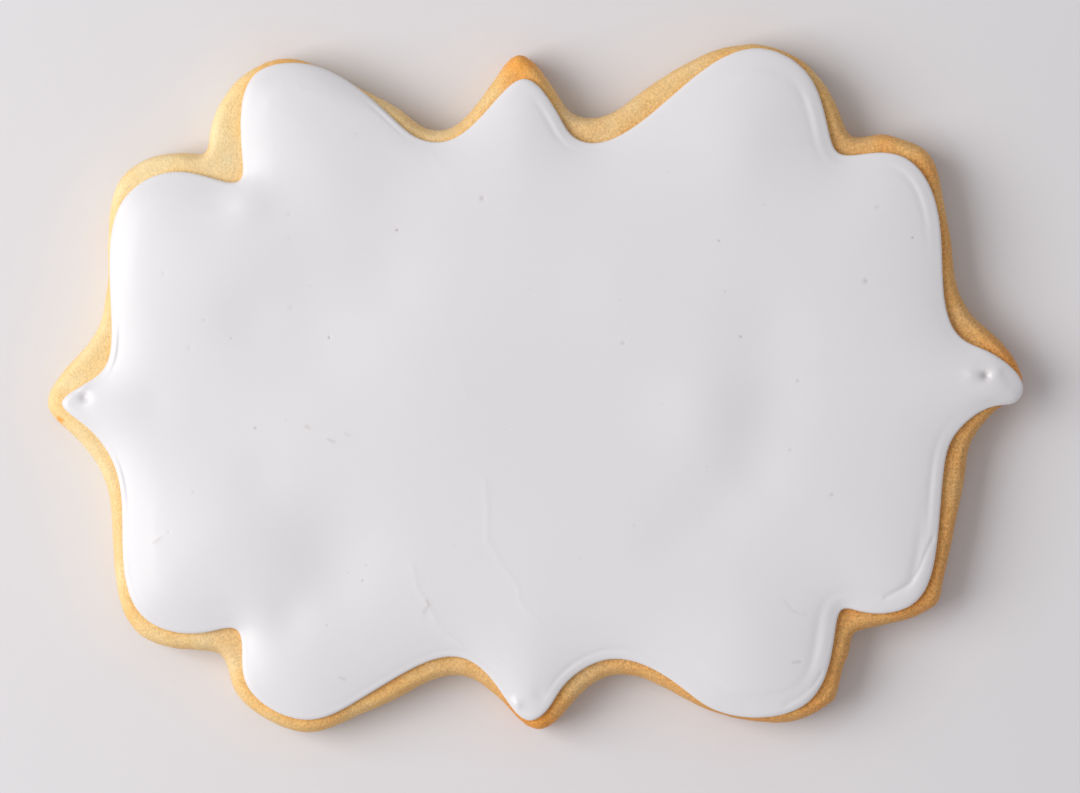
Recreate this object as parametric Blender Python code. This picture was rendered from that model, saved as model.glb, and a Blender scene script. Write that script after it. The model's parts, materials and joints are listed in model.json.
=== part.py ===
"""Iced sugar cookie: a plaque-shaped biscuit under one flood of white icing.

Two pieces, each one closed solid in its own object:
  biscuit  rolled dough, cut with a plaque cutter, domed at its shoulder, flat below
  icing    the flood that lies on it, with a raised bead along its edge

The origin is under the middle of the cookie on its flat underside, X runs along
its length, Y along its width and +Z points up. Lengths are in millimetres up to
the point where a mesh is made, which is in metres.
"""
import bmesh
import bpy
import numpy as np

MILLIMETRE = 0.001

# Driving dimensions
BISCUIT_THICKNESS = 6.6
BASE_INSET = 0.9           # how far the flat underside stays in from the widest line
WIDEST_LOW = 1.8           # the side bulges most between these two heights
WIDEST_HIGH = 3.1
SHOULDER = 2.2             # width of the rounded edge round the flat top
ICING_GAP = 0.35           # clearance between the two solids
BEAD_HEIGHT = 1.95         # the bead's crown above the icing's underside
GROOVE_DEPTH = 0.12        # the slight dip inside the bead
CROWN_HEIGHT = 2.2         # the flooded middle above the icing's underside
CROWN_INSET = 5.0          # how far in from its edge the icing reaches that height
LOWEST_LIP = 5.6           # the icing never hangs lower than this where it meets the edge
STEPS = 4                  # straight pieces between two knots of an outline
STRIDE = 0.3               # rings are drawn in from an edge by strides of this length

# The plaque's edge, clockwise from the top tip, one short run for each feature. A row
# is one place on it: the biscuit's edge (x, y), then the icing's edge (x, y) beside it.
# The smooth curves through these places are the two outlines. The cutter's four tips and
# eight lobes are still there, but baking and piping have left each a little different.
EDGE = {
    "top tip": [(-1.9, 40.4, -1.1, 37.3), (2.5, 35.9, 3.1, 32.5), (4.6, 33.3, 4.6, 30.4)],
    "dip right of the top tip": [(7.4, 32.8, 6.9, 29.6), (13.0, 36.0, 13.6, 32.8)],
    "upper right lobe": [(25.5, 41.7, 26.2, 41.0), (33.6, 38.7, 33.1, 37.6),
                         (37.3, 32.3, 35.6, 30.2)],
    "upper right notch": [(38.4, 30.6, 36.6, 28.4), (41.6, 30.8, 40.6, 28.4)],
    "upper right corner": [(44.7, 30.2, 44.4, 27.9), (47.4, 28.7, 46.7, 25.9),
                           (49.5, 22.3, 48.8, 19.7)],
    "kink above the right tip": [(52.0, 10.1, 50.0, 8.1), (54.3, 7.6, 51.8, 5.8)],
    "right tip": [(57.0, 5.0, 54.8, 4.4), (59.0, 0.5, 58.9, 0.0), (57.9, -1.2, 57.9, -1.7),
                  (56.0, -2.6, 55.5, -2.1)],
    "kink below the right tip": [(52.8, -6.6, 50.6, -5.6), (52.0, -10.5, 49.4, -8.9)],
    "lower right corner": [(50.0, -20.9, 48.3, -19.7), (47.5, -26.7, 45.6, -25.9),
                           (40.3, -29.1, 39.4, -26.9)],
    "lower right notch": [(38.7, -30.0, 37.1, -26.6), (38.2, -33.0, 36.2, -29.1)],
    "lower right lobe": [(33.4, -39.6, 32.9, -37.8), (21.9, -39.2, 22.1, -38.9),
                         (17.6, -37.3, 17.5, -35.9)],
    "dip right of the bottom tip": [(10.0, -34.6, 9.3, -32.6), (5.1, -37.4, 3.3, -36.0)],
    "bottom tip": [(2.8, -40.0, 1.4, -38.8), (0.6, -41.3, -0.7, -40.0), (-4.3, -37.6, -5.1, -35.2)],
    "dip left of the bottom tip": [(-9.7, -34.7, -9.8, -32.3), (-17.1, -37.7, -17.2, -35.1)],
    "lower left lobe": [(-21.9, -39.8, -21.7, -37.8), (-27.6, -41.6, -27.7, -39.9),
                        (-35.1, -38.2, -34.5, -36.1), (-36.8, -35.4, -35.3, -32.5)],
    "lower left notch": [(-38.0, -32.3, -35.9, -29.1), (-40.7, -31.7, -39.8, -29.4)],
    "lower left corner": [(-48.0, -29.7, -47.4, -27.3), (-51.0, -21.1, -49.7, -18.9)],
    "kink below the left tip": [(-52.2, -10.9, -50.3, -10.5), (-56.5, -5.1, -54.3, -4.4)],
    "left tip": [(-59.0, -1.8, -57.0, -1.7), (-55.5, 3.9, -52.6, 1.7), (-53.3, 6.7, -51.2, 4.4)],
    "left side": [(-52.0, 11.0, -51.1, 9.4), (-51.4, 22.0, -50.8, 20.0)],
    "upper left corner": [(-49.8, 25.9, -48.7, 23.8), (-43.1, 28.6, -42.2, 26.1)],
    "upper left notch": [(-40.0, 28.6, -35.6, 25.1), (-39.4, 31.1, -35.3, 28.1)],
    "upper left lobe": [(-34.9, 38.3, -34.0, 37.6), (-28.8, 39.9, -29.3, 39.3),
                        (-23.7, 37.7, -24.1, 38.0)],
    "dip left of the top tip": [(-15.8, 33.4, -17.1, 32.6), (-13.6, 31.7, -14.5, 30.4),
                                (-10.9, 31.4, -11.9, 29.7), (-8.8, 32.5, -9.3, 30.4),
                                (-4.3, 38.3, -4.6, 34.9)],
}


def closed_curve(knots, steps):
    """Points along the smooth closed curve that passes through the knots."""
    knots = np.array(knots, dtype=float)
    count = len(knots)
    following = np.roll(knots, -1, axis=0)
    span = np.linalg.norm(following - knots, axis=1) ** 0.75
    system = np.zeros((count, count))
    right_side = np.zeros((count, 2))
    for i in range(count):
        before, after = span[i - 1], span[i]
        system[i, i - 1] = after
        system[i, i] = 2 * (before + after)
        system[i, (i + 1) % count] = before
        right_side[i] = 3 * (after * (knots[i] - knots[i - 1]) / before
                             + before * (following[i] - knots[i]) / after)
    slope = np.linalg.solve(system, right_side)
    points = []
    for i in range(count):
        j = (i + 1) % count
        for step in range(steps):
            t = step / steps
            points.append((2 * t**3 - 3 * t**2 + 1) * knots[i]
                          + (t**3 - 2 * t**2 + t) * span[i] * slope[i]
                          + (3 * t**2 - 2 * t**3) * knots[j]
                          + (t**3 - t**2) * span[i] * slope[j])
    return np.array(points)


def outward(ring):
    """Unit normals of a counter-clockwise ring, pointing away from its inside."""
    along = np.roll(ring, -1, axis=0) - np.roll(ring, 1, axis=0)
    normal = np.column_stack([along[:, 1], -along[:, 0]])
    return normal / np.linalg.norm(normal, axis=1)[:, None]


def eased(ring):
    """The ring rounded where it bulges, with its points drawn towards equal spacing."""
    for _ in range(4):
        pull = (np.roll(ring, 1, axis=0) + np.roll(ring, -1, axis=0) - 2 * ring) / 4
        away = outward(ring)
        leaving = np.maximum((pull * away).sum(axis=1), 0)
        ring = ring + pull - leaving[:, None] * away
    for _ in range(4):
        along = np.roll(ring, -1, axis=0) - np.roll(ring, 1, axis=0)
        along /= np.linalg.norm(along, axis=1)[:, None]
        pull = (np.roll(ring, 1, axis=0) + np.roll(ring, -1, axis=0) - 2 * ring) / 2
        ring = ring + (pull * along).sum(axis=1)[:, None] * along
    return ring


def drawn_in(ring, distance):
    """The ring moved inwards in short strides, eased after each so that its tips don't cross."""
    strides = max(1, round(distance / STRIDE))
    for _ in range(strides):
        ring = eased(ring - outward(ring) * (distance / strides))
    return ring


def distance_inside(points, ring):
    """Distance from each point to the ring: positive inside it and negative outside."""
    start = ring[None, :, :]
    run = np.roll(ring, -1, axis=0)[None, :, :] - start
    offset = points[:, None, :] - start
    share = np.clip((offset * run).sum(2) / (run * run).sum(2), 0, 1)
    distance = np.linalg.norm(offset - share[:, :, None] * run, axis=2).min(axis=1)
    rising = (offset[:, :, 1] >= 0) & (offset[:, :, 1] < run[:, :, 1])
    falling = (offset[:, :, 1] < 0) & (offset[:, :, 1] >= run[:, :, 1])
    turn = run[:, :, 0] * offset[:, :, 1] - run[:, :, 1] * offset[:, :, 0]
    crossings = (rising & (turn > 0)).sum(axis=1) + (falling & (turn < 0)).sum(axis=1)
    return np.where(crossings % 2, distance, -distance)


def biscuit_surface(inside):
    """Height of the biscuit's top, by distance in from its widest line: an elliptical shoulder."""
    share = np.clip(1 - np.asarray(inside) / SHOULDER, 0, 1)
    return WIDEST_HIGH + (BISCUIT_THICKNESS - WIDEST_HIGH) * np.sqrt(1 - share**2.6)


def extruded_to(bm, ring, targets):
    """Extrude the ring's edges and move the new vertices to their targets."""
    edges = [bm.edges.get((a, b)) for a, b in zip(ring, ring[1:] + ring[:1])]
    grown = set(bmesh.ops.extrude_edge_only(bm, edges=edges)["geom"])
    raised = []
    for vert, target in zip(ring, targets):
        twin = next(edge.other_vert(vert) for edge in vert.link_edges
                    if edge.other_vert(vert) in grown)
        twin.co = target
        raised.append(twin)
    return raised


def metres(ring, height):
    """The ring's points as metre triples at one height, or at a height each."""
    heights = np.broadcast_to(height, len(ring))
    return [tuple(MILLIMETRE * value for value in (x, y, z)) for (x, y), z in zip(ring, heights)]


def stacked(rings):
    """A closed solid from rings listed from the bottom cap to the top cap."""
    bm = bmesh.new()
    current = [bm.verts.new(point) for point in rings[0]]
    bm.faces.new(current[::-1])
    for targets in rings[1:]:
        current = extruded_to(bm, current, targets)
    bm.faces.new(current)
    bmesh.ops.recalc_face_normals(bm, faces=bm.faces)
    return bm


def placed(bm, name, material):
    """Turn the bmesh into a smooth-shaded object in the scene."""
    mesh = bpy.data.meshes.new(name)
    bm.to_mesh(mesh)
    bm.free()
    mesh.shade_smooth()
    mesh.set_sharp_from_angle(angle=np.radians(50))
    mesh.materials.append(material)
    thing = bpy.data.objects.new(name, mesh)
    bpy.context.collection.objects.link(thing)
    return thing


def finish(name, colour, roughness):
    """A plain food material."""
    material = bpy.data.materials.new(name)
    material.use_nodes = True
    shader = material.node_tree.nodes["Principled BSDF"]
    shader.inputs["Base Color"].default_value = (*colour, 1)
    shader.inputs["Roughness"].default_value = roughness
    shader.inputs["Metallic"].default_value = 0
    return material


def outlines():
    """The biscuit's and the icing's edge, counter-clockwise, about the middle of their box."""
    places = [place for run in EDGE.values() for place in run]
    biscuit = closed_curve([place[0:2] for place in places], STEPS)[::-1]
    icing = closed_curve([place[2:4] for place in places], STEPS)[::-1]
    both = np.vstack([biscuit, icing])
    middle = (both.min(axis=0) + both.max(axis=0)) / 2
    return biscuit - middle, icing - middle


def make_biscuit(edge):
    """Flat underside, bulging side, rounded shoulder and flat top."""
    rings = [
        metres(drawn_in(edge, BASE_INSET), 0),
        metres(drawn_in(edge, 0.35 * BASE_INSET), 0.35 * WIDEST_LOW),
        metres(edge, WIDEST_LOW),
        metres(edge, WIDEST_HIGH),
    ]
    for share in (0.12, 0.4, 1.0):
        ring = drawn_in(edge, share * SHOULDER)
        rings.append(metres(ring, biscuit_surface(distance_inside(ring, edge))))
    rings.append(metres(drawn_in(edge, 1.4 * SHOULDER), BISCUIT_THICKNESS))
    return placed(stacked(rings), "biscuit", finish("baked dough", (0.75, 0.50, 0.22), 0.8))


def make_icing(edge, biscuit_edge):
    """The flood: it follows the biscuit's shoulder below and carries a bead round its top."""
    def resting(ring):
        surface = biscuit_surface(distance_inside(ring, biscuit_edge))
        return np.maximum(surface, LOWEST_LIP) + ICING_GAP

    flat = BISCUIT_THICKNESS + ICING_GAP
    tucked = drawn_in(edge, 0.25)
    lip = resting(tucked)
    sag = lip - flat
    rings = [metres(drawn_in(edge, 4.4), flat)]
    for inside in (2.6, 1.1):
        ring = drawn_in(edge, inside)
        rings.append(metres(ring, resting(ring)))
    rings.append(metres(tucked, lip))
    for inside, rise, follow in ((0.0, 0.85, 0.9), (0.45, 1.5, 0.6), (1.5, BEAD_HEIGHT, 0.25),
                                 (2.9, BEAD_HEIGHT - GROOVE_DEPTH, 0)):
        ring = drawn_in(edge, inside) if inside else edge
        rings.append(metres(ring, flat + rise + follow * sag))
    rings.append(metres(drawn_in(edge, CROWN_INSET), flat + CROWN_HEIGHT))
    return placed(stacked(rings), "icing", finish("white icing", (0.76, 0.74, 0.74), 0.35))


def main():
    for thing in list(bpy.data.objects):
        bpy.data.objects.remove(thing)
    biscuit_edge, icing_edge = outlines()
    make_biscuit(biscuit_edge)
    make_icing(icing_edge, biscuit_edge)


main()
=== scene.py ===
# %% [markdown]
# # An iced sugar cookie
# A plaque-shaped biscuit lies flat under one flood of white icing. Two main pieces are
# made, and each stands for the plain solid of the same name in the frame: the **biscuit**,
# whose sandy rim shows all round, and the **icing**, a glossy skin with a steep rounded
# edge, a faint piped bead inside that edge, and a broad, slightly uneven middle.
# Both start from an outline that is read from the frame, so they always fit it.

# %% Tools and an empty scene
import json
import math

import bmesh
import bpy
import numpy as np
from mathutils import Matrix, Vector, noise
from mathutils.geometry import delaunay_2d_cdt
from mathutils.kdtree import KDTree

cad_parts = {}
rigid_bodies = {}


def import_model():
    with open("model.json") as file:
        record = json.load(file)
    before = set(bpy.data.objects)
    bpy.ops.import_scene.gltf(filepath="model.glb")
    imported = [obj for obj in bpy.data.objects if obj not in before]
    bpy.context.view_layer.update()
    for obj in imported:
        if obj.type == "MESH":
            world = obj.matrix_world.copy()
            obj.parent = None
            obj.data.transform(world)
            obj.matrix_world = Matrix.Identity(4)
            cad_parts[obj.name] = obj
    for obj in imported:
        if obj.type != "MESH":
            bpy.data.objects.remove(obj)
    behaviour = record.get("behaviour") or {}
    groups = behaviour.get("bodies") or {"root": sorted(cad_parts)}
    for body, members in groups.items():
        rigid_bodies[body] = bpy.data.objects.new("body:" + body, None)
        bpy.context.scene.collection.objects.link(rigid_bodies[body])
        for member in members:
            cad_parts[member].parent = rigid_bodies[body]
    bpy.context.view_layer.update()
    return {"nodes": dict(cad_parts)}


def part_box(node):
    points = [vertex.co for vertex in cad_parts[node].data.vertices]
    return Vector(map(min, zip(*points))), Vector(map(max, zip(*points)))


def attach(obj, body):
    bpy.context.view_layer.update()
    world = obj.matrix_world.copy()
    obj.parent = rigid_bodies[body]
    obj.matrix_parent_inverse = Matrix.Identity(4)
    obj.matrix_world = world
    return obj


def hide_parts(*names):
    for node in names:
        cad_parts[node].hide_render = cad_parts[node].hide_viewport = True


for leftover in list(bpy.data.objects):
    bpy.data.objects.remove(leftover)

# %% The frame and its size
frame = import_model()
MM = 0.001
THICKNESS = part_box("biscuit")[1].z / MM
ICING_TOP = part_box("icing")[1].z / MM
print(f"biscuit {THICKNESS:.2f} mm thick, icing up to {ICING_TOP:.2f} mm")

# %% [markdown]
# ## Reading an outline from the frame
# The frame's mesh is loose triangles, so a copy is welded first. The faces that look
# upwards are pressed flat and triangulated together, which unites them into one sheet.
# A side that only one triangle uses lies on the sheet's border, and following those
# sides from point to point walks once round the outline, counter-clockwise.

# %% Walk round a node's outline
WELD = 1e-6


def outline(node):
    """The node's outline from above, as points in millimetres, counter-clockwise."""
    bm = bmesh.new()
    bm.from_mesh(frame["nodes"][node].data)
    bmesh.ops.remove_doubles(bm, verts=bm.verts, dist=WELD)
    bm.normal_update()
    bm.verts.index_update()
    spots = [vert.co.xy / MM for vert in bm.verts]
    upper = [[vert.index for vert in face.verts] for face in bm.faces if face.normal.z > 0.01]
    bm.free()
    spots, _, triangles, *_ = delaunay_2d_cdt(spots, [], upper, 1, 1e-3)
    sides = {side for corners in triangles for side in zip(corners, corners[1:] + corners[:1])}
    border = {start: end for start, end in sides if (end, start) not in sides}
    walk = [max(border, key=lambda index: spots[index].x)]
    while border[walk[-1]] != walk[0]:
        walk.append(border[walk[-1]])
    print(f"{node}: outline of {len(walk)} points out of {len(border)} on the border")
    return np.array([spots[index][:] for index in walk])


# %% [markdown]
# The frame's outline has straight pieces of a millimetre or two, which a glossy edge would
# show. A Bezier curve with automatic handles passes through the same points and is round
# between them, so the curve object does the smoothing, and its mesh gives finer points.

# %% Round an outline with a Bezier curve
FINER = 4


def rounded(points):
    """The closed outline with FINER smooth steps between each two of its points."""
    curve = bpy.data.curves.new("outline guide", "CURVE")
    run = curve.splines.new("BEZIER")
    run.bezier_points.add(len(points) - 1)
    for knot, (x, y) in zip(run.bezier_points, points):
        knot.co = (x, y, 0)
        knot.handle_left_type = "AUTO"
        knot.handle_right_type = "AUTO"
    run.use_cyclic_u = True
    run.resolution_u = FINER
    guide = bpy.data.objects.new("outline guide", curve)
    bpy.context.collection.objects.link(guide)
    bpy.context.view_layer.update()
    shape = guide.evaluated_get(bpy.context.evaluated_depsgraph_get()).to_mesh()
    fine = np.array([vert.co.xy for vert in shape.vertices])
    bpy.data.objects.remove(guide)
    bpy.data.curves.remove(curve)
    return fine


biscuit_edge = rounded(outline("biscuit"))
icing_edge = rounded(outline("icing"))
step = np.linalg.norm(np.roll(icing_edge, -1, axis=0) - icing_edge, axis=1)
print(f"icing edge: {len(icing_edge)} points, {step.min():.2f} to {step.max():.2f} mm apart")

# %% [markdown]
# ## Rings
# Both pieces are skins stretched over rings. A ring is the outline moved inwards in short
# strides. At a pointed tip its two sides would soon cross, so after each stride the ring
# is eased: bulges are rounded, and its points slide along it to even their spacing. A
# notch is never eased, because that would push the ring back out over the edge.

# %% Move a ring inwards
STRIDE = 0.15
EASINGS = 30


def outward(ring):
    """Unit normals that point away from the inside of a counter-clockwise ring."""
    along = np.roll(ring, -1, axis=0) - np.roll(ring, 1, axis=0)
    along /= np.linalg.norm(along, axis=1)[:, None]
    return np.column_stack([along[:, 1], -along[:, 0]])


def pull_to_neighbours(ring):
    """How far each point is from lying midway between its neighbours."""
    return (np.roll(ring, 1, axis=0) + np.roll(ring, -1, axis=0) - 2 * ring) / 2


def eased(ring):
    """The ring rounded where it bulges, with its points drawn towards equal spacing."""
    for _ in range(EASINGS):
        pull = pull_to_neighbours(ring) / 2
        away = outward(ring)
        leaving = np.maximum((pull * away).sum(axis=1), 0)
        ring = ring + pull - leaving[:, None] * away
    for _ in range(EASINGS):
        pull = pull_to_neighbours(ring)
        away = outward(ring)
        across = (pull * away).sum(axis=1)
        ring = ring + pull - across[:, None] * away
    return ring


def drawn_in(edge, distances):
    """Rings at growing distances inside the edge, one for each distance."""
    rings = []
    ring = edge
    reached = 0.0
    for distance in distances:
        strides = max(1, math.ceil((distance - reached) / STRIDE))
        for _ in range(strides):
            ring = ring - outward(ring) * (distance - reached) / strides
            if distance > 0.1:
                ring = eased(ring)
        reached = distance
        rings.append(ring)
    return rings


# %% [markdown]
# How high a point lies follows from its true distance to the outline, so that easing a
# ring never bends the surface. A k-d tree finds the nearest outline point, and the
# distance is then measured to the two pieces of outline beside it.

# %% Measure how far inside an outline a point lies
class Edge:
    """An outline that tells how far inside it a point is."""

    def __init__(self, ring):
        self.ring = ring
        self.normals = outward(ring)
        self.tree = KDTree(len(ring))
        for index, (x, y) in enumerate(ring):
            self.tree.insert((x, y, 0), index)
        self.tree.balance()

    def nearest(self, points):
        """Index of the outline point nearest to each point."""
        return np.array([self.tree.find((x, y, 0))[1] for x, y in points])

    def inside(self, points):
        """Distances from the outline, positive inside it."""
        points = np.asarray(points, dtype=float)
        near = self.nearest(points)
        gaps = []
        for first in (near - 1, near):
            start = self.ring[first]
            run = self.ring[(first + 1) % len(self.ring)] - start
            offset = points - start
            share = np.clip((offset * run).sum(axis=1) / (run * run).sum(axis=1), 0, 1)
            gaps.append(np.linalg.norm(offset - share[:, None] * run, axis=1))
        away = ((points - self.ring[near]) * self.normals[near]).sum(axis=1)
        return np.minimum(*gaps) * np.where(away > 0, -1, 1)


# %% [markdown]
# The cutter left a few corners of the biscuit crisper than the frame's outline has them,
# and a side or two flatter or fuller. Rather than drawing the outline again, each such place is pushed
# out or in along the outline's own normals, and the push fades away within a few
# millimetres, so the curve stays smooth.

# %% Sharpen the biscuit's corners
CORNERS = [  # across, up, reach, how far outwards
    (48.6, -25.9, 1.4, 0.40), (38.9, -29.8, 0.9, -0.20), (37.7, -33.9, 2.4, -0.70),
    (35.6, -37.3, 1.2, 0.25), (50.0, 18.0, 4.2, 0.36),
]


def with_corners(ring):
    """The biscuit's outline with its crisper corners pushed out or in."""
    for across, up, reach, push in CORNERS:
        near = np.exp(-((ring[:, 0] - across)**2 + (ring[:, 1] - up)**2) / reach**2)
        ring = ring + outward(ring) * (push * near)[:, None]
    return ring


biscuit_edge = with_corners(biscuit_edge)
biscuit_rim = Edge(biscuit_edge)
icing_rim = Edge(icing_edge)
lap = biscuit_rim.inside(icing_edge)
print(f"the rim of biscuit round the icing is {lap.min():.2f} to {lap.max():.2f} mm wide")

# %% [markdown]
# The plain distance makes a sharp ridge where two sides of the outline are equally near,
# and flowing icing has no ridges. A softer distance lets every piece of the outline
# count, the near ones most. It is made to agree with the plain distance beside a straight
# edge, it is smooth everywhere, and it rises faster behind a notch, as surface tension does.

# %% A distance without ridges
SOFTNESS = 1.1
PLAIN_UNTIL, BLEND_WIDTH = 0.25, 1.5


def crowding(points, ring):
    """How much of the ring lies close to each point."""
    pieces = np.linalg.norm(np.roll(ring, -1, axis=0) - ring, axis=1)
    pieces = (pieces + np.roll(pieces, 1)) / 2
    total = []
    for part in np.array_split(points, max(1, len(points) // 2000)):
        gaps = np.hypot(part[:, None, 0] - ring[None, :, 0], part[:, None, 1] - ring[None, :, 1])
        total.append((np.exp(-gaps / SOFTNESS) * pieces).sum(axis=1))
    return np.concatenate(total)


straight = np.column_stack([np.linspace(-60, 60, 601), np.zeros(601)])
steps_in = np.linspace(0, 45, 451)
straight_crowding = np.log(crowding(np.column_stack([0 * steps_in, steps_in]), straight))


def softly_inside(points):
    """Distance inside the icing's edge: plain at the edge and free of ridges further in."""
    points = np.asarray(points, dtype=float)
    plain_distance = icing_rim.inside(points)
    soft = np.interp(-np.log(crowding(points, icing_edge)), -straight_crowding, steps_in)
    share = np.clip((plain_distance - PLAIN_UNTIL) / BLEND_WIDTH, 0, 1)
    share = share * share * (3 - 2 * share)
    return plain_distance * (1 - share) + soft * share


# %% [markdown]
# ## Extruding ring by ring
# A skin starts as one flat face on the lowest ring. Its border is extruded, and the new
# vertices are moved to the next ring, again and again up to the top, which is closed
# with one more face. Every step is an ordinary extrude, so the skin is closed and its
# faces keep the same order all the way up.

# %% Skin a stack of rings
def extruded_to(bm, ring, targets):
    """Extrude the ring's border and move the new vertices to their targets."""
    edges = [bm.edges.get((a, b)) for a, b in zip(ring, ring[1:] + ring[:1])]
    grown = set(bmesh.ops.extrude_edge_only(bm, edges=edges)["geom"])
    raised = []
    for vert, target in zip(ring, targets):
        twin = next(edge.other_vert(vert) for edge in vert.link_edges
                    if edge.other_vert(vert) in grown)
        twin.co = target
        raised.append(twin)
    return raised


def placed(ring, heights):
    """The ring's points in metres, at one height or at a height each."""
    heights = np.broadcast_to(heights, len(ring))
    return [(x * MM, y * MM, z * MM) for (x, y), z in zip(ring, heights)]


def skinned(levels):
    """A closed skin over the levels, lowest first, and its top face."""
    bm = bmesh.new()
    ring = [bm.verts.new(point) for point in levels[0]]
    bm.faces.new(ring[::-1])
    for targets in levels[1:]:
        ring = extruded_to(bm, ring, targets)
    top = bm.faces.new(ring)
    bmesh.ops.recalc_face_normals(bm, faces=bm.faces)
    return bm, top


def object_from(bm, name):
    """Turn the bmesh into a smooth-shaded object that belongs to the cookie."""
    mesh = bpy.data.meshes.new(name)
    bm.to_mesh(mesh)
    bm.free()
    mesh.shade_smooth()
    thing = bpy.data.objects.new(name, mesh)
    bpy.context.collection.objects.link(thing)
    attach(thing, "root")
    print(f"{name}: {len(mesh.vertices)} vertices, {len(mesh.polygons)} faces")
    return thing


# %% [markdown]
# ## The biscuit
# Rolled dough is cut, and in the oven its side bulges a little while its top edge sinks
# into a rounded shoulder. The underside stays flat where it lay on the tray. The rim is
# all that shows from above, so its rings are close together, and the middle is left
# to one wide face that the icing covers.

# %% The biscuit's rings
WIDEST_LOW = 1.8
WIDEST_HIGH = 3.1
SHOULDER = 1.4
SHOULDER_CURVE = 2.6


def shoulder_height(inside):
    """Height of the biscuit's top by distance inside its widest line."""
    share = np.clip(1 - np.asarray(inside) / SHOULDER, 0, 1)
    return WIDEST_HIGH + (THICKNESS - WIDEST_HIGH) * np.sqrt(1 - share**SHOULDER_CURVE)


under = [(3.0, 0), (1.6, 0), (0.95, 0), (0.78, 0.04), (0.6, 0.14), (0.43, 0.3), (0.28, 0.52),
         (0.16, 0.85), (0.08, 1.15), (0.03, 1.5)]
side_heights = [1.8, 2.15, 2.5, 2.8, 3.1]
top_insets = [0.006, 0.025, 0.06, 0.12, 0.2, 0.32, 0.48, 0.68, 0.92, 1.2, 1.5, 1.8, 2.1,
              2.4, 2.7, 3.0, 3.3, 3.6, 4.0, 4.5, 5.2]
under_rings = drawn_in(biscuit_edge, [inset for inset, _ in under[::-1]])[::-1]
levels = [placed(ring, height) for ring, (_, height) in zip(under_rings, under)]
levels += [placed(biscuit_edge, height) for height in side_heights]
for ring in drawn_in(biscuit_edge, top_insets):
    levels.append(placed(ring, shoulder_height(biscuit_rim.inside(ring))))
bm, _ = skinned(levels)

# %% [markdown]
# An oven browns what sticks out: tips and corners. How far a place sticks out is how
# sharply the outline turns there, averaged over a few millimetres. Shade is painted on
# as well: the rim turns from pale gold to tan towards the lower right, away from the
# light, and the notches are painted darker and the outer corners lighter. The tips in
# the middle are the brownest, and the crumb right beside the icing is darker, partly
# browned and partly painted contact shade. A painted picture could hold all this, but
# a few formulas fit any outline.

# %% Where the biscuit browns, and where shade is painted on it
AVERAGE_OVER = 14
BROWN_SPOTS = [  # across, up, reach, how much browner
    (-1.8, 39.5, 4.5, 0.34), (-0.5, -39.5, 4.0, 0.26), (-31.0, 40.5, 3.5, 0.22),
    (-57.4, -3.8, 0.3, 0.8),
]
# Painted shade: the second value darkens the end away from the light; the third is partly browning and
# partly painted contact shade beside the icing.
PALEST, SHADED_END, BESIDE_ICING = 0.30, 0.20, 0.10
ICING_SHADE = 0.5
# Over how many millimetres along X, and downwards along Y, the painted shade grows.
LENGTHWAYS, WIDTHWAYS = 118, 200
turning = (pull_to_neighbours(biscuit_edge) * outward(biscuit_edge)).sum(axis=1)
gap = np.linalg.norm(np.roll(biscuit_edge, -1, axis=0) - biscuit_edge, axis=1)
turning = -turning / gap**2
for _ in range(AVERAGE_OVER * 4):
    turning = (np.roll(turning, 1) + np.roll(turning, -1) + 2 * turning) / 4
print(f"the outline turns between {turning.min():.2f} and {turning.max():.2f} per millimetre")


def baked(spot, sharp, over):
    """How browned, how much shade is painted and how sandy the biscuit is at a spot; the browning
    holds some painted shade too.
    """
    # Beside the icing the crumb is darker: partly browning, partly painted contact shade from the
    # icing.
    beside = math.exp(-max(0.0, -float(over)) / ICING_SHADE)
    # Painted shade: 0 at the lit upper left, growing towards the lower right, away from the light.
    away_from_light = min(1.0, max(0.0, 0.5 + spot.x / LENGTHWAYS - spot.y / WIDTHWAYS))
    corner = float(np.clip(1.2 * sharp, -0.06, 0.18)) * (0.3 + 0.7 * away_from_light)
    for across, up, reach, browner in BROWN_SPOTS:
        corner += browner * math.exp(-((spot.x - across)**2 + (spot.y - up)**2) / reach**2)
    browned_and_shaded = PALEST + SHADED_END * away_from_light + corner + BESIDE_ICING * beside
    # Painted shade: the notches darker and the outer corners lighter, as the light falls on them.
    shade_tint = away_from_light - 1.5 * float(np.clip(sharp, -0.17, 0.27))
    return browned_and_shaded, shade_tint, 0.25 + 0.55 * away_from_light + 0.15 * beside


# %% [markdown]
# The crumb is sandy: sugar and flour leave grains and tiny pits of a third of a
# millimetre, and the cut side is a little lumpy. Lumps large enough to change the
# silhouette are moved into the mesh here, and the finest grain is left to the material.
# The browning, the painted shade and the sandiness are stored on the vertices, for the colour to read;
# the browning holds some painted shade as well.

# %% Give the crumb its relief, its bake and its painted shade
def lumpy(spot):
    """How far the crumb stands out at a spot, in millimetres."""
    lump = noise.noise(spot * 0.35) * 0.10 + noise.noise(spot * 1.1) * 0.045
    return lump + noise.noise(spot * 2.6) * 0.035


bake_and_shade = bm.verts.layers.float.new("bake_and_shade")
painted_shade = bm.verts.layers.float.new("painted_shade")
sandy = bm.verts.layers.float.new("sandy")
bm.normal_update()
flat = np.array([vert.co.xy / MM for vert in bm.verts])
sharpness = turning[biscuit_rim.nearest(flat)]
under_icing = icing_rim.inside(flat)
for vert, sharp, over in zip(bm.verts, sharpness, under_icing):
    spot = vert.co / MM
    vert[bake_and_shade], vert[painted_shade], vert[sandy] = baked(spot, sharp, over)
    rise = min(1.0, max(0.0, (spot.z - 0.1) / 0.8))
    vert.co += vert.normal * lumpy(spot) * rise * MM
biscuit = object_from(bm, "biscuit.baked")
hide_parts("biscuit")

# %% [markdown]
# ## The icing
# Royal icing is piped round the edge and flooded inside it. Surface tension holds it in
# a steep, rounded edge about a millimetre high, and from there the surface domes gently
# for another centimetre before it is almost level.

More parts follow.
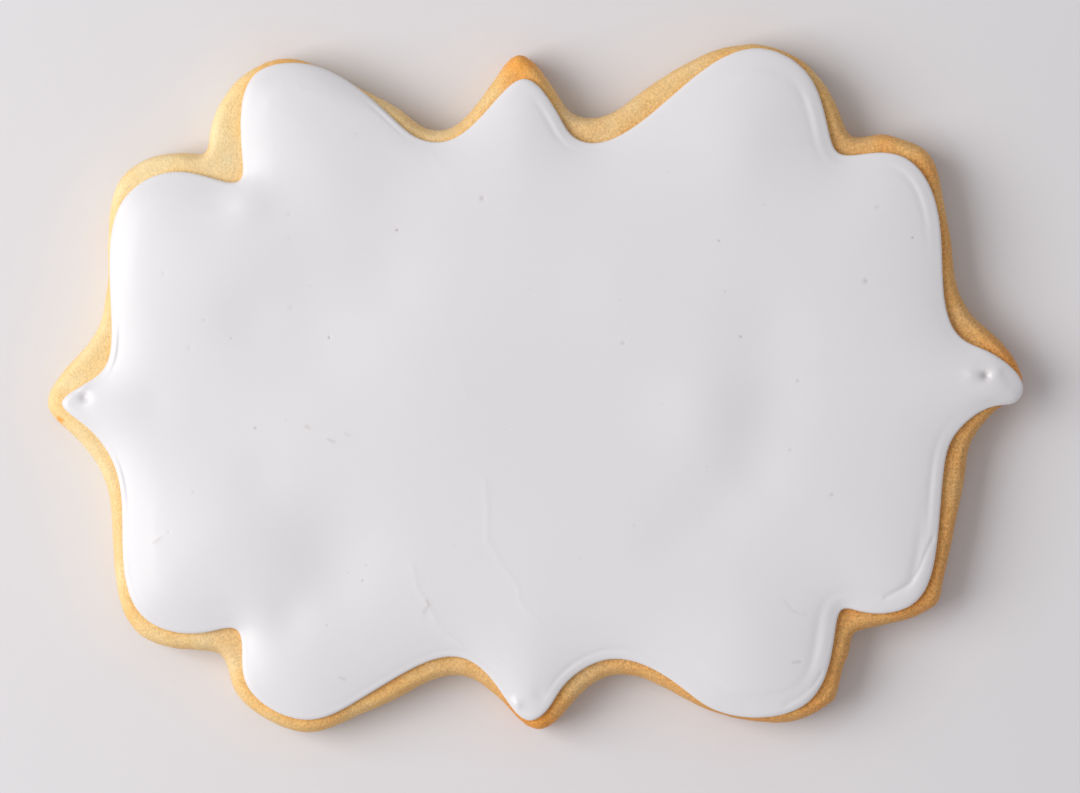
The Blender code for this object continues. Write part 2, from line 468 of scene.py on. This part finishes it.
# %% The icing's rings
SUNK = 0.12
LOWEST_LIP = 5.5
SAG_PASSES = 120
SAG_REACH = 2.8
EQUATOR = 0.55
LIP_ROUND = 0.24
LIP_RISE = 0.32
STEEP, STEEP_REACH = 0.26, 4.3
GENTLE, GENTLE_REACH = 0.045, 13.0


def dome(inside):
    """Height above the biscuit's top by distance inside the icing's edge."""
    inside = np.asarray(inside)
    turn = np.clip(1 - inside / LIP_ROUND, 0, 1)
    lip = EQUATOR + LIP_RISE * np.sqrt(1 - turn**2)
    steep = STEEP * STEEP_REACH * (1 - np.exp(-inside / STEEP_REACH))
    gentle = GENTLE * GENTLE_REACH * (1 - np.exp(-inside / GENTLE_REACH))
    return lip + steep + gentle


room = ICING_TOP - THICKNESS
print(f"the dome reaches {dome(40.0):.2f} mm, and the frame's icing is {room:.2f} mm deep")
lip_insets = [0.0, 0.012, 0.04, 0.09, 0.16, 0.26, 0.4, 0.56, 0.72, 0.84, 0.96, 1.1, 1.3, 1.5,
              1.7, 1.95, 2.2, 2.45, 2.7, 2.95, 3.25]
sag = np.maximum(shoulder_height(biscuit_rim.inside(icing_edge)), LOWEST_LIP) - THICKNESS
for _ in range(SAG_PASSES):
    sag = (np.roll(sag, 1) + np.roll(sag, -1) + 2 * sag) / 4
tucked = drawn_in(icing_edge, [0.06, 0.2, 1.2])
levels = [placed(tucked[2], THICKNESS - SUNK + sag),
          placed(tucked[1], THICKNESS - SUNK + sag),
          placed(tucked[0], THICKNESS + EQUATOR * 0.35 + sag)]
for inset, ring in zip(lip_insets, drawn_in(icing_edge, lip_insets)):
    inside = softly_inside(ring) if inset > 0.1 else inset
    fading = max(0.0, 1 - inset / SAG_REACH)**3
    levels.append(placed(ring, THICKNESS + dome(inside) + sag * fading))
bm, middle = skinned(levels)

# %% [markdown]
# The wide face in the middle is cut with planes across X and then across Y, and the
# squares between the cuts are subdivided once more, which leaves a net of half a
# millimetre that can carry swells and dimples.

# %% Cut the middle into a net
CUT_EVERY = 1.0


def cut_into_cells(bm, face, spacing):
    """Cut one flat face into cells with planes across X and then across Y."""
    pieces = [face]
    for axis in (0, 1):
        across = Vector((1 - axis, axis, 0))
        places = [vert.co[axis] for piece in pieces for vert in piece.verts]
        place = min(places) + spacing
        done = []
        while place < max(places):
            parts = list({part for piece in pieces for part in (piece, *piece.edges, *piece.verts)})
            halves = bmesh.ops.bisect_plane(bm, geom=parts, plane_co=across * place,
                                            plane_no=across, dist=1e-7)["geom"]
            halves = [half for half in halves if isinstance(half, bmesh.types.BMFace)]
            pieces = [half for half in halves if half.calc_center_bounds()[axis] > place]
            done += [half for half in halves if half.calc_center_bounds()[axis] <= place]
            place += spacing
        pieces = done + pieces
    return pieces


cells = cut_into_cells(bm, middle, CUT_EVERY * MM)
squares = {cell for cell in cells if len(cell.verts) == 4}
between = [edge for edge in bm.edges if all(face in squares for face in edge.link_faces)]
bmesh.ops.subdivide_edges(bm, edges=between, cuts=1, use_grid_fill=True)
print(f"{len(cells)} cells, and {len(bm.faces)} faces after subdividing")

# %% [markdown]
# ## Swells, grooves and bumps
# The flood froze with broad swells in it. The piped border dried a little before the flood
# reached it, and in places it still shows as a low bead with a groove behind it. Both are
# sums of soft bells: a swell is a bell round one point, and a groove is a bell across the
# distance to the edge, which fades away along the edge.

# %% Swells, grooves and bumps
SWELLS = [  # across, up, reach, height, all in millimetres
    (-27.0, 8.5, 8.0, -0.60), (-18.0, 13.5, 5.5, -0.35), (-34.5, 8.5, 3.5, -0.22),
    (-13.5, -2.0, 12.5, 0.50), (-27.0, -4.0, 6.0, 0.15), (-32.9, -11.1, 3.0, -0.14),
    (-36.5, -18.5, 8.0, 0.45), (-24.0, -20.0, 6.0, -0.60), (-25.5, -25.0, 4.2, -0.26),
    (-35.0, 18.0, 7.0, 0.38),
    (-45.8, -2.0, 2.2, -0.08), (-16.9, 23.9, 5.0, -0.20), (24.5, 29.9, 5.5, 0.32),
    (19.9, -3.0, 5.0, 0.42), (10.2, 12.4, 5.0, 0.12), (27.9, 6.5, 5.0, -0.32),
    (28.2, -2.0, 4.5, -0.34), (26.4, -9.5, 4.2, -0.38), (21.7, -14.7, 4.4, -0.34),
    (16.8, -18.0, 4.5, -0.20), (24.7, -31.8, 6.0, 0.26), (33.0, 33.0, 2.0, -0.07),
]
GROOVES = [  # across, up, reach along the edge, distance from the edge, width, depth
    (36.5, -31.5, 6.0, 2.20, 0.50, 0.13), (46.0, -21.5, 5.0, 2.20, 0.50, 0.13),
    (47.5, -12.0, 7.0, 1.50, 0.35, 0.08), (33.5, 33.6, 5.0, 2.00, 0.35, 0.10),
    (46.0, 24.0, 5.0, 1.80, 0.30, 0.08), (-18.0, 33.5, 3.2, 0.70, 0.20, 0.10),
    (-50.5, 4.6, 2.6, 1.00, 0.22, 0.07), (-49.1, -11.0, 3.0, 0.80, 0.20, 0.06),
    (-24.0, -35.0, 9.0, 0.75, 0.20, 0.04), (2.5, 32.0, 3.5, 1.50, 0.30, 0.09),
    (11.5, -31.0, 3.5, 1.30, 0.30, 0.10), (5.0, -34.5, 4.0, 1.20, 0.25, 0.08),
    (-46.0, -24.0, 6.0, 0.75, 0.20, 0.04), (-8.0, -31.0, 3.5, 0.80, 0.20, 0.06),
]
BUMPS = [  # across, up, reach, height
    (-2.3, -38.2, 0.75, 0.28), (0.6, -36.9, 0.9, -0.10), (52.4, 1.6, 0.8, 0.16),
    (55.6, 1.9, 0.8, 0.16), (54.2, 1.5, 0.55, -0.45), (-54.3, -1.1, 0.60, -0.34),
    (-54.6, 0.2, 0.7, 0.12), (57.6, -0.4, 0.6, 0.08), (-35.0, 22.9, 2.6, 0.46),
    (-29.6, -27.2, 3.0, -0.34),
]


CALM_EDGE, CALM_FADE = 1.0, 3.0


def bell(distance, reach):
    """A smooth hump that is 1 in its middle and fades over the reach."""
    return np.exp(-(distance / reach)**2)


def soft_shapes(spots, inside):
    """Height of the swells, grooves and bumps over the smooth dome, in millimetres."""
    x, y = spots.T
    rise = np.zeros(len(spots))
    middle = np.clip((inside - CALM_EDGE) / CALM_FADE, 0, 1)
    for across, up, reach, height in SWELLS:
        rise += middle * height * bell(np.hypot(x - across, y - up), reach)
    for across, up, reach, inset, width, depth in GROOVES:
        strength = depth * bell(np.hypot(x - across, y - up), reach)
        crest = bell(inside - inset + 2.0 * width, 1.5 * width)
        rise += strength * (0.6 * crest - bell(inside - inset, width))
    for across, up, reach, height in BUMPS:
        rise += height * bell(np.hypot(x - across, y - up), reach)
    return rise


# %% [markdown]
# ## Pits, specks and creases
# Bubbles burst and left pits, flour and brown sugar left specks, and creases run where a
# skin had formed while the icing still flowed. A few short fibres stuck to it as well. All
# are smaller than the net, so the edges round each of them are subdivided first. A vertex
# attribute remembers how stained each place is, and the icing's colour reads it.

# %% Where the small marks are
MARKS = [  # across, up, reach, depth, stain
    (-16.6, 19.0, 0.22, 0.05, 0.9), (-6.3, 22.8, 0.42, 0.07, 0.35), (-24.7, 6.1, 0.17, 0.12, 1.0),
    (-41.5, 4.8, 0.42, 0.03, 0.15), (-44.6, 13.8, 0.30, 0.03, 0.15), (-29.3, 9.7, 0.45, 0.03, 0.10),
    (39.8, 12.9, 0.42, 0.07, 0.35), (10.6, 5.4, 0.32, 0.06, 0.35), (41.2, 21.8, 0.35, 0.05, 0.20),
    (-21.5, 30.5, 0.25, 0.03, 0.25), (30.7, -7.4, 0.28, 0.05, 0.25), (31.6, 0.9, 0.28, 0.05, 0.40),
    (10.2, 10.5, 0.20, 0.03, 0.20), (-33.6, -4.8, 0.22, 0.03, 0.6), (20.7, -9.4, 0.20, 0.04, 0.20),
    (35.7, -12.8, 0.30, 0.05, 0.35), (-20.7, -23.1, 0.20, 0.04, 0.50), (-39.8, 8.2, 0.22, 0.03, 0.3),
    (22.9, 11.6, 0.24, 0.03, 0.25), (-29.5, 20.9, 0.40, 0.03, 0.12), (-29.5, 17.9, 0.40, 0.02, 0.10),
    (45.4, 18.1, 0.18, 0.03, 0.9), (22.1, 17.7, 0.18, 0.03, 0.8), (24.7, 6.2, 0.20, 0.03, 0.8),
    (-36.5, 6.0, 0.20, 0.04, 0.40), (-20.3, -21.3, 0.14, 0.04, 0.5), (-22.5, -22.2, 0.14, 0.03, 0.4),
    (-25.0, -28.5, 0.16, 0.04, 0.45), (-9.8, -19.0, 0.14, 0.03, 0.3), (15.2, -1.9, 0.14, 0.02, 0.3),
    (-41.0, -12.5, 0.25, 0.03, 0.20), (12.0, -16.5, 0.30, 0.03, 0.15), (-29.9, -3.8, 0.14, 0.03, 0.4),
    (-27.0, 12.3, 0.16, 0.03, 0.25), (-44.0, -17.3, 0.20, 0.03, 0.20), (16.0, 26.0, 0.20, 0.02, 0.15),
    (54.2, 1.5, 0.50, 0.00, 0.55), (-54.3, -1.1, 0.45, 0.00, 0.25), (-0.8, 12.0, 0.16, 0.03, 0.25),
    (5.5, -20.5, 0.18, 0.03, 0.25), (27.5, 22.0, 0.20, 0.03, 0.20), (-3.5, -5.0, 0.16, 0.02, 0.20),
]
CREASES = [  # height, stain, then the points it runs through
    (0.032, 0, [(-6.0, -11.1), (-5.7, -15.3), (-5.8, -18.3), (-4.2, -21.0), (-2.2, -23.7),
                (-1.6, -26.1), (0.6, -28.2)]),
    (0.035, 0, [(-14.8, -21.3), (-14.1, -24.3), (-12.7, -26.4), (-11.5, -28.9), (-8.8, -31.0)]),
    (0.015, 0, [(-12.4, 28.1), (-10.9, 25.7), (-9.3, 22.7)]),
    (0.012, 0, [(-10.9, 8.2), (-8.8, 1.6), (-8.1, -1.4)]),
    (-0.10, 0, [(47.9, -18.1), (47.2, -19.5), (46.2, -21.9), (45.2, -23.5), (42.2, -25.2)]),
    (-0.08, 0, [(34.5, -34.3), (33.5, -35.8), (31.9, -37.2), (30.1, -38.2)]),
    (-0.02, 0.1, [(30.0, -25.5), (31.1, -26.9), (32.7, -27.1)]),
    (-0.02, 0.25, [(31.0, -33.0), (31.9, -32.9)]),
    (0.015, 0.20, [(-45.9, -18.6), (-44.8, -17.8)]),
    (0.015, 0.22, [(-27.6, -4.7), (-27.4, -4.5), (-27.1, -4.8)]),
    (0.015, 0.22, [(-24.9, -6.1), (-24.1, -6.5)]),
    (0.015, 0.15, [(-22.9, -5.5), (-22.3, -5.6)]),
    (0.015, 0.25, [(-13.0, -25.5), (-12.7, -26.1), (-13.1, -26.5), (-13.4, -27.0)]),
    (0.015, 0.22, [(-23.6, -34.8), (-23.1, -34.9), (-22.9, -35.1)]),
]
CREASE_WIDTH = 0.26
MARK_WIDTH = 0.7
MARK_STRENGTH = 0.6
NEAR_MARK, NEAR_CREASE = 0.8, 0.5

# %% [markdown]
# A crease is a bell across the distance to its path, which the nearest of its straight
# pieces gives. Only the edges close to a mark are subdivided, because the same fineness
# everywhere would take millions of faces and show nothing more.

# %% Finer edges round the marks
def from_path(spots, path):
    """Distance from each point to the nearest piece of a path."""
    best = np.full(len(spots), 1e9)
    for start, end in zip(path, path[1:]):
        start = np.array(start)
        run = np.array(end) - start
        share = np.clip(((spots - start) * run).sum(axis=1) / (run * run).sum(), 0, 1)
        best = np.minimum(best, np.linalg.norm(spots - start - share[:, None] * run, axis=1))
    return best


def refine(bm, close_to, cuts):
    """Subdivide the top's edges whose middle is close to a mark."""
    edges = []
    for edge in bm.edges:
        middle = (edge.verts[0].co + edge.verts[1].co) / 2
        if middle.z > (THICKNESS + EQUATOR + 0.3) * MM and close_to(middle.xy / MM):
            edges.append(edge)
    bmesh.ops.subdivide_edges(bm, edges=edges, cuts=cuts, use_grid_fill=True)
    return len(edges)


spots_of_marks = KDTree(len(MARKS) + len(BUMPS))
for index, mark in enumerate(MARKS + BUMPS):
    spots_of_marks.insert((mark[0], mark[1], 0), index)
spots_of_marks.balance()
POINTS_A_PIECE = 12
pieces_of_paths = sum(len(path) - 1 for _, _, path in CREASES)
creased = KDTree(POINTS_A_PIECE * pieces_of_paths)
for _, _, path in CREASES:
    for start, end in zip(path, path[1:]):
        for share in np.linspace(0, 1, POINTS_A_PIECE):
            place = Vector(start).lerp(Vector(end), share)
            creased.insert((*place, 0), 0)
creased.balance()
close = refine(bm, lambda place: spots_of_marks.find((*place, 0))[2] < NEAR_MARK, 3)
print(close, "edges near marks")
close = refine(bm, lambda place: creased.find((*place, 0))[2] < NEAR_CREASE, 1)
print(close, "edges near creases")

# %% [markdown]
# Every vertex of the top now gets its height. Deep inside, it comes straight from the
# dome, and near the edge the rings have set it already. The soft shapes, the marks and the
# creases are added to it.

# %% Shape the top
NET_FROM, NET_BLEND = 2.9, 0.3
FIXED_LIP, LIP_FADE = 0.05, 0.3
many_sided = [face for face in bm.faces if len(face.verts) > 4 and face.normal.z > 0.5]
bmesh.ops.triangulate(bm, faces=many_sided)
stain = bm.verts.layers.float.new("stain")
top = [vert for vert in bm.verts if vert.co.z > (THICKNESS + EQUATOR + 0.1) * MM]
spots = np.array([vert.co.xy / MM for vert in top])
inside = icing_rim.inside(spots)
deep = np.clip((inside - NET_FROM) / NET_BLEND, 0, 1)
height = np.array([vert.co.z / MM for vert in top])
height = np.where(deep > 0, THICKNESS + dome(softly_inside(spots)), height)
height += soft_shapes(spots, inside) * np.clip((inside - FIXED_LIP) / LIP_FADE, 0, 1)
dirt = np.zeros(len(top))
for across, up, reach, depth, darkness in MARKS:
    near = bell(np.hypot(spots[:, 0] - across, spots[:, 1] - up), MARK_WIDTH * reach)
    height -= depth * near
    dirt = np.maximum(dirt, MARK_STRENGTH * darkness * near)
for lift, darkness, path in CREASES:
    away = from_path(spots, path)
    height += lift * bell(away, CREASE_WIDTH)
    dirt = np.maximum(dirt, darkness * bell(away, 0.5 * CREASE_WIDTH))
for vert, level, mark in zip(top, height, dirt):
    vert.co.z = float(level) * MM
    vert[stain] = float(mark)
print(f"the top is {height.max():.2f} mm high at most")
icing = object_from(bm, "icing.flood")
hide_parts("icing")

# %% [markdown]
# ## Materials
# Both foods share one node group. It gives a slow, cloudy unevenness and a fine grain,
# each as a plain value, and the materials use them for colour and for bump.

# %% Node helpers
def linked(tree, kind, settings=(), **inputs):
    """Add a node, and set or link its inputs. An input may be named by number, as i0."""
    made = tree.nodes.new(kind)
    for name, value in dict(settings).items():
        setattr(made, name, value)
    for name, value in inputs.items():
        numbered = name[0] == "i" and name[1:].isdigit()
        socket = made.inputs[int(name[1:]) if numbered else name.replace("_", " ")]
        if isinstance(value, bpy.types.NodeSocket):
            tree.links.new(value, socket)
        else:
            socket.default_value = value
    return made


def cloud_and_grain():
    """A node group with a cloudy value and a grainy value, each from 0 to 1."""
    group = bpy.data.node_groups.new("cloud and grain", "ShaderNodeTree")
    face = group.interface
    face.new_socket("Cloud Size", in_out="INPUT", socket_type="NodeSocketFloat")
    face.new_socket("Grain Size", in_out="INPUT", socket_type="NodeSocketFloat")
    face.new_socket("Cloud", in_out="OUTPUT", socket_type="NodeSocketFloat")
    face.new_socket("Grain", in_out="OUTPUT", socket_type="NodeSocketFloat")
    entry = group.nodes.new("NodeGroupInput")
    place = linked(group, "ShaderNodeTexCoord")
    rates = []
    for size in ("Cloud Size", "Grain Size"):
        rate = linked(group, "ShaderNodeMath", {"operation": "DIVIDE"}, i0=1.0,
                      i1=entry.outputs[size])
        rates.append(rate.outputs[0])
    cloud = linked(group, "ShaderNodeTexNoise", Vector=place.outputs["Object"],
                   Scale=rates[0], Detail=3.0)
    grain = linked(group, "ShaderNodeTexNoise", Vector=place.outputs["Object"],
                   Scale=rates[1], Detail=4.0, Roughness=0.65)
    leave = group.nodes.new("NodeGroupOutput")
    group.links.new(cloud.outputs[0], leave.inputs["Cloud"])
    group.links.new(grain.outputs[0], leave.inputs["Grain"])
    return group


uneven = cloud_and_grain()


def new_material(name):
    """An empty Principled material and its tree and shader."""
    made = bpy.data.materials.new(name)
    made.use_nodes = True
    return made, made.node_tree, made.node_tree.nodes["Principled BSDF"]


def unevenness(tree, cloud_size, grain_size):
    """The shared group, set to two sizes in metres."""
    group = linked(tree, "ShaderNodeGroup", {"node_tree": uneven})
    group.inputs["Cloud Size"].default_value = cloud_size
    group.inputs["Grain Size"].default_value = grain_size
    return group


def stored(tree, name):
    """The value of a vertex attribute."""
    return linked(tree, "ShaderNodeAttribute", {"attribute_name": name}).outputs["Fac"]


# %% [markdown]
# The crumb's colour starts from a ramp that runs from pale gold through honey to orange,
# and the stored bake, which holds some painted shade as well, picks the place on it. Shade
# is then painted on: the result is multiplied by a tan, as far as the stored shade value
# says, darker away from the light and in the notches. The same fine grain then darkens
# and lightens single grains of sugar and lifts them with a bump.

# %% Baked dough, with painted shade
dough, tree, shader = new_material("baked dough")
shader.inputs["Roughness"].default_value = 0.78
mixed = unevenness(tree, 5 * MM, 0.28 * MM)
browned_and_shaded = linked(tree, "ShaderNodeMath", {"operation": "MULTIPLY_ADD"},
                 i0=mixed.outputs["Cloud"], i1=0.5, i2=stored(tree, "bake_and_shade"))
tone = linked(tree, "ShaderNodeValToRGB", Fac=browned_and_shaded.outputs[0])
ramp = tone.color_ramp
ramp.elements[0].position = 0.42
ramp.elements[0].color = (1.0, 0.84, 0.50, 1)
ramp.elements[1].position = 1.0
ramp.elements[1].color = (0.98, 0.44, 0.085, 1)
golden = ramp.elements.new(0.72)
golden.color = (0.97, 0.63, 0.245, 1)
# Painted shade: a tan multiplied in, as far as the stored shade value says.
shade_tint = linked(tree, "ShaderNodeMix", {"data_type": "RGBA"})
tree.links.new(stored(tree, "painted_shade"), shade_tint.inputs["Factor"])
shade_tint.inputs["A"].default_value = (1.0, 1.0, 1.0, 1)
shade_tint.inputs["B"].default_value = (0.81, 0.65, 0.53, 1)
grainy = linked(tree, "ShaderNodeMapRange", Value=mixed.outputs["Grain"], From_Min=0.36,
                From_Max=0.64, To_Min=0.66, To_Max=1.26)
shade = linked(tree, "ShaderNodeMix", {"data_type": "RGBA", "blend_type": "MULTIPLY"})
shade.inputs["Factor"].default_value = 1.0
tree.links.new(tone.outputs["Color"], shade.inputs["A"])
tree.links.new(shade_tint.outputs["Result"], shade.inputs["B"])
sanded = linked(tree, "ShaderNodeMix", {"data_type": "RGBA", "blend_type": "MULTIPLY"})
tree.links.new(stored(tree, "sandy"), sanded.inputs["Factor"])
tree.links.new(shade.outputs["Result"], sanded.inputs["A"])
tree.links.new(grainy.outputs["Result"], sanded.inputs["B"])
tree.links.new(sanded.outputs["Result"], shader.inputs["Base Color"])
bump = linked(tree, "ShaderNodeBump", Height=mixed.outputs["Grain"], Strength=0.9,
              Distance=0.22 * MM)
tree.links.new(bump.outputs["Normal"], shader.inputs["Normal"])
biscuit.data.materials.append(dough)

# %% [markdown]
# Dried royal icing has a satin white surface that lets a little light in, so it gets a small
# amount of subsurface scattering with a radius of about a millimetre. Its own colour is a
# grey, because a pure white would lose all the swells in bright light.

# %% White icing
white, tree, shader = new_material("white icing")
shader.inputs["Roughness"].default_value = 0.3
shader.inputs["Subsurface Weight"].default_value = 0.25
shader.inputs["Subsurface Radius"].default_value = (1.0, 0.95, 0.9)
shader.inputs["Subsurface Scale"].default_value = 1.0 * MM
mixed = unevenness(tree, 8 * MM, 0.5 * MM)
tinted = linked(tree, "ShaderNodeMix", {"data_type": "RGBA"})
tree.links.new(stored(tree, "stain"), tinted.inputs["Factor"])
tinted.inputs["A"].default_value = (0.755, 0.74, 0.765, 1)
tinted.inputs["B"].default_value = (0.24, 0.13, 0.07, 1)
tree.links.new(tinted.outputs["Result"], shader.inputs["Base Color"])
bump = linked(tree, "ShaderNodeBump", Height=mixed.outputs["Grain"], Strength=0.25,
              Distance=0.02 * MM)
tree.links.new(bump.outputs["Normal"], shader.inputs["Normal"])
icing.data.materials.append(white)

# %% [markdown]
# ## The floor
# The cookie lies on a plain pale surface. One grid face is enough, made by a bmesh
# operator and large enough that its border is never seen.

# %% Pale floor
bm = bmesh.new()
bmesh.ops.create_grid(bm, x_segments=1, y_segments=1, size=3.0)
mesh = bpy.data.meshes.new("floor")
bm.to_mesh(mesh)
bm.free()
floor = bpy.data.objects.new("floor", mesh)
bpy.context.collection.objects.link(floor)
pale, tree, shader = new_material("pale floor")
shader.inputs["Roughness"].default_value = 0.7
shader.inputs["Base Color"].default_value = (0.715, 0.70, 0.725, 1)
floor.data.materials.append(pale)

# %% [markdown]
# ## Light and camera
# One large, soft source stands to the left, about half way up, and a pale room fills the
# shadows. The camera looks straight down.

# %% Light
scene = bpy.context.scene
scene.view_settings.view_transform = "Standard"
world = bpy.data.worlds.new("soft room")
world.use_nodes = True
world.node_tree.nodes["Background"].inputs["Color"].default_value = (0.99, 0.99, 1.0, 1)
world.node_tree.nodes["Background"].inputs["Strength"].default_value = 0.45
scene.world = world

key = bpy.data.lights.new("window", "AREA")
key.shape = "RECTANGLE"
key.size = 0.6
key.size_y = 0.6
key.energy = 5.6
key.color = (1.0, 0.985, 0.97)
window = bpy.data.objects.new("window", key)
window.location = (-0.57, 0.03, 0.56)
window.rotation_euler = (-window.location).to_track_quat("-Z", "Y").to_euler()
bpy.context.collection.objects.link(window)

# %% [markdown]
# A long lens from above shows hardly any of the biscuit's sides. Its focal length follows
# from how high the camera is and how wide a field it has to take in.

# %% Camera
CAMERA_HEIGHT = 0.6
FIELD = 131.7 * MM
lens = bpy.data.cameras.new("camera")
lens.sensor_width = 36.0
lens.lens = lens.sensor_width * CAMERA_HEIGHT / FIELD
lens.clip_start = 0.01
camera = bpy.data.objects.new("camera", lens)
camera.location = (0.6 * MM, -1.0 * MM, CAMERA_HEIGHT)
bpy.context.collection.objects.link(camera)
scene.camera = camera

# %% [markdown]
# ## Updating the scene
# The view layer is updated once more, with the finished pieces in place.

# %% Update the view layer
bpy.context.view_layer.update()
